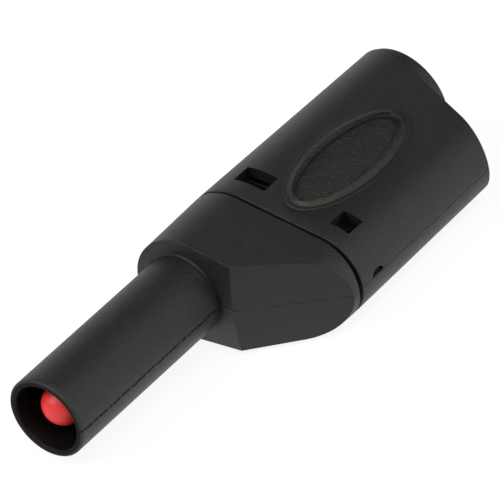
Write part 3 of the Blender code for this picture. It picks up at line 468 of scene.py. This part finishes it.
def black_shell_paint(name, edge_radius, hidden, oval=None):
    """Black plastic with the mould's grain, the fine step that its two halves leave round the middle plane, and
    painted shade along it.

    Inside the tube, and past the seam when hidden is 1, a near-black matt shader is mixed in: painted shade for those
    recesses.
    The tube's inside also has fainter grain. With an oval (centre x and y, half width and half length in mm), the
    space inside it carries a coarser relief.
    """
    paint = Paint(name)
    place = paint.node("TexCoord", out=3)
    local = paint.node(
        "Mapping", {"vector_type": "TEXTURE"}, Vector=place, Location=PLUG_PLACE, Rotation=(0.0, PLUG_ROLL, 0.0)
    )
    across, along, up = (paint.node("SeparateXYZ", out=axis, Vector=local) * 1000 for axis in range(3))
    soft = paint.node("Bevel", {"samples": 6}, Radius=edge_radius)
    outside = (across**2 + up**2 - 15.2).held()
    on_tube = (20.9 - along).held()

    line = {"noise_dimensions": "1D"}
    wander = paint.node("TexNoise", line, W=along * 0.7, Scale=1.0, Detail=5.0, Roughness=0.62) - 0.5
    broken = paint.node("TexNoise", line, W=along * 2.1 + 40, Scale=1.0, Detail=3.0, Roughness=0.6)
    from_parting = up - wander * 0.42
    ridge = outside * (1 - abs(from_parting) / 0.11).held()
    stepped = paint.node("Bump", Height=ridge, Strength=1.0, Distance=0.00010, Normal=soft)
    # Painted shade: a broken near-black line along the parting step stands for the shadow in its crevice. It is wider
    # and darker on the tube.
    parting_shade = (1 - abs(from_parting - 0.03) / (0.06 + on_tube * 0.17)).held()
    parting_shade = parting_shade * outside * (broken * 4 - 1.2).held() * (0.7 + on_tube * 0.25)

    grain = paint.node("TexNoise", Vector=place, Scale=5600.0, Detail=3.0, Roughness=0.65)
    rough = paint.node("Bump", Height=grain * (outside * 0.7 + 0.3), Strength=0.9, Distance=0.00011, Normal=stepped)
    worn = 0.0
    if oval:
        x, y, half_width, half_length = oval
        reach = ((across - x) / half_width) ** 2 + ((along - y) / half_length) ** 2
        inside = ((1 - reach) * 8).held()
        worn = ((1.55 - reach) * 4).held() - inside
        cells = paint.node("TexNoise", Vector=place, Scale=2300.0, Detail=3.0, Roughness=0.55, Distortion=1.2)
        patches = paint.node("TexNoise", Vector=place, Scale=620.0, Detail=2.0) * 1.6 - 0.3
        relief = cells * (inside * patches + worn * 0.09)
        rough = paint.node("Bump", Height=relief, Strength=1.0, Distance=0.00026, Normal=rough)

    cloud = paint.node("TexNoise", Vector=place, Scale=260.0, Detail=3.0, Roughness=0.5)
    dark, light = (tuple(level * c for c in SHELL_BLACK) for level in (0.85, 1.15))
    tone = paint.node("Mix", {"data_type": "RGBA"}, out=2, _0=cloud, _6=dark, _7=light)
    gloss = 0.45 + (cloud - 0.5) * 0.08 - worn * 0.22
    shader = paint.node("BsdfPrincipled", Base_Color=tone, Roughness=gloss, Specular_Tint=SHELL_SHEEN, Normal=rough)
    shade = paint.node("BsdfDiffuse", Color=(0.002, 0.002, 0.002))
    # Painted shade: near-black mixed into the bore and, when hidden is 1, into the walls behind the seam.
    recess_shade = (1 - outside) * on_tube * 0.7 + ((along - HIDDEN_FROM) * 20).held() * hidden * 0.85
    hollow = paint.node("MixShader", _0=recess_shade, _1=shader, _2=shade)
    return paint.finish(paint.node("MixShader", _0=parting_shade, _1=hollow, _2=shade))


def stand_for(node, mesh, paint):
    """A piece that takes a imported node's place on the plug body."""
    mesh.materials.clear()
    mesh.materials.append(paint)
    piece = bpy.data.objects.new(mesh.name, mesh)
    bpy.context.scene.collection.objects.link(piece)
    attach(piece, "plug_body")
    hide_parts(node)


housing_paint = black_shell_paint("black_shell_front", 0.00019, 1.0)
stand_for("front_housing", front_housing_mesh(), housing_paint)


# Rear cover. The second black moulding slides over the snap tongues: a hollow shell with four windows,
# an oval thumb grip on each wide face, the turret with its socket cavity, and the oblique cable outlet.

REAR_Y, REAR_SLOPE, COVER_END_Y, TURRET_END_Y = 53.95, 0.335, 54.28, 54.66
TURRET, SOCKET_CAVITY, SLEEVE_HOLE = 5.00, 4.30, 3.17
OUTLET, OUTLET_X = 3.10, 9.5
TURRET_START_Y, CAVITY_FLOOR_Y, SLEEVE_HOLE_Y, CABLE_WAY_Y, PAST_END_Y = 35.6, 33.6, 30.2, 33.2, 57.0
WIRE_POCKET_STEP_Y, WIRE_POCKET_END_Y = 32.2, 35.2
SLOT_PLAY, SLOT_DEPTH, SLOT_END_Y, SLOT_MARGIN = 0.04, 0.98, 33.25, 0.15
WINDOWS, WINDOW_Y = ((-1.55, 2.00), (9.44, 11.55)), (SEAM_Y + 2.32, SEAM_Y + 4.50)
GATE_Y, GATE_Z, GATE_HALF, GATE_DEPTH = SEAM_Y + 2.78, 0.12, (0.82, 0.66), 0.35
GRIP_X, GRIP_Y, GRIP_HALF = 5.42, 39.35, (3.94, 8.50)
GRIP_SECTION = (
    (0, -0.45, -0.45), (0.04, 0.05, 0.14), (0.10, 0.08, 0.25), (0.17, 0.08, 0.30), (0.40, 0.06, 0.30),
    (0.48, 0.07, 0.31), (0.54, 0.10, 0.33), (0.62, 0.17, 0.36), (0.74, 0.27, 0.40), (0.86, 0.365, 0.43),
    (0.95, 0.43, 0.445), (1.02, 0.45, 0.45), (1.10, 0.45, 0.45), (1.14, 0.43, 0.43), (1.17, 0.36, 0.36),
    (1.20, 0.26, 0.26), (1.24, 0.19, 0.19), (1.34, 0.17, 0.17), (1.60, 0.16, 0.16), (1.90, 0.16, 0.16),
)


def grip_rows(side):
    """Rings of the thumb grip, from its foot inward: each oval is the foot's, drawn in by the same distance all round.

    Its height follows the ring's section: a step at the foot, a ledge, a slope to the crest, and a drop to the
    field. The section's two heights are those on the cable side and on the plug side, blended by the cosine.
    """
    level = PLUG_SIDE - REAR_TAPER * (GRIP_Y - SEAM_Y)
    lean, taper = PLUG_ROLL, REAR_TAPER
    across = np.array([math.cos(lean), 0, -side * math.sin(lean)])
    out = np.array([math.sin(lean), 0, side * math.cos(lean)])
    along = np.array([0, 1, 0]) - taper * out
    along /= np.linalg.norm(along)
    out = out + taper * np.array([0, 1, 0])
    out /= np.linalg.norm(out)
    centre = np.array([0, GRIP_Y, 0]) + out * level + across * (GRIP_X / math.cos(lean) - level * math.tan(lean))
    inward, cable_side, plug_side = np.array(GRIP_SECTION).T
    half = np.array(GRIP_HALF) - inward[:, None]
    angle = np.linspace(0, 2 * np.pi, 160, endpoint=False)
    x = half[:, :1] * np.cos(angle)
    y = half[:, 1:] * np.sin(angle)
    blend = (1 - np.cos(angle)) / 2
    height = cable_side[:, None] * (1 - blend) + plug_side[:, None] * blend
    return centre + x[..., None] * across + y[..., None] * along + height[..., None] * out


def rear_cover_mesh():
    turn = np.linspace(np.pi / 2, 0, 5)
    front_edge = COVER_START_Y + COVER_EDGE * (1 - np.sin(turn))
    rings = body_rows([*front_edge, 31.0, COVER_END_Y], [*(COVER_EDGE * (1 - np.cos(turn))), 0, 0])
    rings[:5, :, 1] += 0.05 * toward_cable_edge(rings[:5, :, 0])
    slant = [(x, REAR_Y - REAR_SLOPE * x) for x in (PAST_LEFT, PAST_RIGHT)] + [(PAST_RIGHT, 62), (PAST_LEFT, 62)]
    rear_rim = rounded((TURRET, TURRET_END_Y), (TURRET, 40.0), (2.0, TURRET_END_Y), 0.10)
    pocket_limit = block(
        "pocket_limit", (PAST_LEFT, WIRE_POCKET_STEP_Y, -PAST_TOP), (PLUG_SIDE_END_X, 37.0, PAST_TOP)
    )
    pocket = worked(
        "wire_pocket", skin("wire_pocket", body_rows([27.0, SEAM_Y, WIRE_POCKET_END_Y], COVER_WALL)),
        ("DIFFERENCE", pocket_limit),
    )
    tilt = math.atan(REAR_SLOPE)
    angle = np.linspace(0, 2 * np.pi, 120, endpoint=False)
    flare = []
    for radius, depth in ((OUTLET - 0.35, -0.7), (OUTLET + 0.70, 0.35)):
        x, z = radius * np.cos(angle), radius * np.sin(angle)
        y = REAR_Y - REAR_SLOPE * OUTLET_X - x * math.sin(tilt) + depth * math.cos(tilt)
        flare.append(np.stack([OUTLET_X + x * math.cos(tilt) + depth * math.sin(tilt), y, z], -1))
    angle = np.linspace(0, np.pi, 33)
    gate = np.stack([GATE_Y + GATE_HALF[0] * np.cos(angle), GATE_Z + GATE_HALF[1] * np.sin(angle)], -1)
    gate_x = CABLE_X + CABLE_SIDE - REAR_TAPER * 2.80 - GATE_DEPTH
    cable_way = [(OUTLET, CABLE_WAY_Y), (OUTLET, PAST_END_Y)]
    windows = []
    for x0, x1 in WINDOWS:
        outer = min(body_height(x, SEAM_Y + 2.3) for x in (x0, x1))
        for side in (1, -1):
            low, high = sorted((side * (outer - 1.51), side * (outer + 2)))
            opening = block(f"window_{x0:.0f}_{side}", (x0, WINDOW_Y[0], low), (x1, WINDOW_Y[1], high))
            windows.append(("DIFFERENCE", opening))
    return worked(
        "rear_cover_shell", skin("cover_body", rings),
        ("DIFFERENCE", pushed("rear_space", slant, -PAST_TOP, PAST_TOP, "z")),
        ("UNION", turned("turret", [(TURRET, TURRET_START_Y), *rear_rim])),
        ("UNION", skin("upper_grip", grip_rows(1))),
        ("UNION", skin("lower_grip", grip_rows(-1))),
        ("DIFFERENCE", pocket),
        ("DIFFERENCE", tongue_strips("tongue_slots", COVER_WALL + SLOT_PLAY, SLOT_DEPTH, SLOT_END_Y, SLOT_MARGIN)),
        ("DIFFERENCE", turned("socket_cavity", [(SOCKET_CAVITY, CAVITY_FLOOR_Y), (SOCKET_CAVITY, PAST_END_Y)])),
        ("DIFFERENCE", turned("sleeve_hole", [(SLEEVE_HOLE, SLEEVE_HOLE_Y), (SLEEVE_HOLE, TURRET_START_Y)])),
        ("DIFFERENCE", turned("cable_way", cable_way, centre=(OUTLET_X, 0.0), steps=120)),
        ("DIFFERENCE", skin("outlet_flare", np.array(flare))),
        ("DIFFERENCE", pushed("gate_scoop", gate, gate_x, gate_x + GATE_DEPTH + 2, "x")),
        *windows,
    )


grip_field = (GRIP_X, GRIP_Y, 2.45, 7.0)
cover_paint = black_shell_paint("black_shell_rear", 0.00005, 0.0, grip_field)
stand_for("rear_cover", rear_cover_mesh(), cover_paint)


# Pin, contact spring and tip. The pin is turned from nickel-plated brass. The lantern spring round its waist is
# a pressed and plated copper alloy strip. The red cap on the pin's nose is moulded and pressed on.

TIP_RED = (0.86, 0.034, 0.034)
NICKEL = (0.70, 0.67, 0.61)
SPRING_METAL = (0.74, 0.70, 0.60)


def red_tip_paint():
    paint = Paint("red_tip")
    place = paint.node("TexCoord", out=3)
    cloud = paint.node("TexNoise", Vector=place, Scale=1500.0, Detail=3.0)
    grain = paint.node("TexNoise", Vector=place, Scale=6000.0, Detail=2.0)
    soft = paint.node("Bevel", {"samples": 6}, Radius=0.0003)
    rough = paint.node("Bump", Height=cloud + grain * 0.4, Strength=0.5, Distance=0.00004, Normal=soft)
    dark, light = (tuple(level * c for c in TIP_RED) for level in (0.9, 1.08))
    tone = paint.node("Mix", {"data_type": "RGBA"}, out=2, _0=cloud, _6=dark, _7=light)
    shader = paint.node("BsdfPrincipled", Base_Color=tone, Roughness=0.38 + cloud * 0.12, Normal=rough)
    return paint.finish(shader)


def metal_paint(name, colour, roughness, marks, tarnish=0.75):
    """Plated metal: fine cutter marks square to the plug's length, this many a metre, and a faint tarnish."""
    paint = Paint(name)
    place = paint.node("TexCoord", out=3)
    cloud = paint.node("TexNoise", Vector=place, Scale=420.0, Detail=4.0, Roughness=0.6)
    wave = paint.node(
        "TexWave", {"wave_type": "BANDS", "bands_direction": "Y", "wave_profile": "SIN"},
        Vector=place, Scale=marks, Distortion=1.5, Detail=2.0, Detail_Scale=3.0,
    )
    pits = paint.node("TexNoise", Vector=place, Scale=4200.0, Detail=2.0)
    soft = paint.node("Bevel", {"samples": 4}, Radius=0.00006)
    cut = paint.node("Bump", Height=wave * 0.7 + pits * 0.5, Strength=0.25, Distance=0.00002, Normal=soft)
    dark, light = (tuple(level * c for c in colour) for level in (tarnish, 1.06))
    tone = paint.node("Mix", {"data_type": "RGBA"}, out=2, _0=cloud, _6=dark, _7=light)
    uneven = roughness + (cloud - 0.5) * 0.16 + wave * 0.05
    return paint.finish(paint.node("BsdfPrincipled", Base_Color=tone, Metallic=1.0, Roughness=uneven, Normal=cut))


def dress(node, material):
    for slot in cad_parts[node].material_slots:
        slot.material = material


dress("pin_tip", red_tip_paint())
dress("plug_pin", metal_paint("turned_nickel_pin", NICKEL, 0.20, 2600.0))
dress("contact_spring", metal_paint("spring_strip", SPRING_METAL, 0.26, 900.0))


# Terminal block, clamp screw and washer. The block is milled from brass and nickel-plated. The slotted screw is
# zinc-plated steel, smooth here in the place of its thread. The split washer is hardened steel with a dark finish.

ZINC = (0.62, 0.63, 0.66)
DARK_STEEL = (0.24, 0.24, 0.25)

dress("terminal_block", metal_paint("milled_nickel_block", NICKEL, 0.32, 1500.0))
dress("clamp_screw", metal_paint("zinc_plated_screw", ZINC, 0.30, 700.0, 0.85))
dress("lock_washer", metal_paint("dark_steel_washer", DARK_STEEL, 0.42, 1100.0, 0.8))


# Rear socket and its sleeve. The stacking socket is turned and nickel-plated, as the pin that it is screwed on
# to. The sleeve round it is moulded black plastic, a little smoother than the shells, with a lip at its mouth.

SLEEVE_DARK, SLEEVE_LIGHT = (0.011, 0.011, 0.011), (0.017, 0.017, 0.016)


def sleeve_paint():
    paint = Paint("black_sleeve")
    place = paint.node("TexCoord", out=3)
    grain = paint.node("TexNoise", Vector=place, Scale=4300.0, Detail=3.0, Roughness=0.6)
    cloud = paint.node("TexNoise", Vector=place, Scale=320.0, Detail=3.0)
    soft = paint.node("Bevel", {"samples": 6}, Radius=0.00008)
    rough = paint.node("Bump", Height=grain, Strength=0.6, Distance=0.00004, Normal=soft)
    tone = paint.node("Mix", {"data_type": "RGBA"}, out=2, _0=cloud, _6=SLEEVE_DARK, _7=SLEEVE_LIGHT)
    shader = paint.node("BsdfPrincipled", Base_Color=tone, Roughness=0.38 + (cloud - 0.5) * 0.1, Normal=rough)
    return paint.finish(shader)


dress("rear_socket", metal_paint("turned_nickel_socket", NICKEL, 0.22, 2400.0))
dress("socket_sleeve", sleeve_paint())
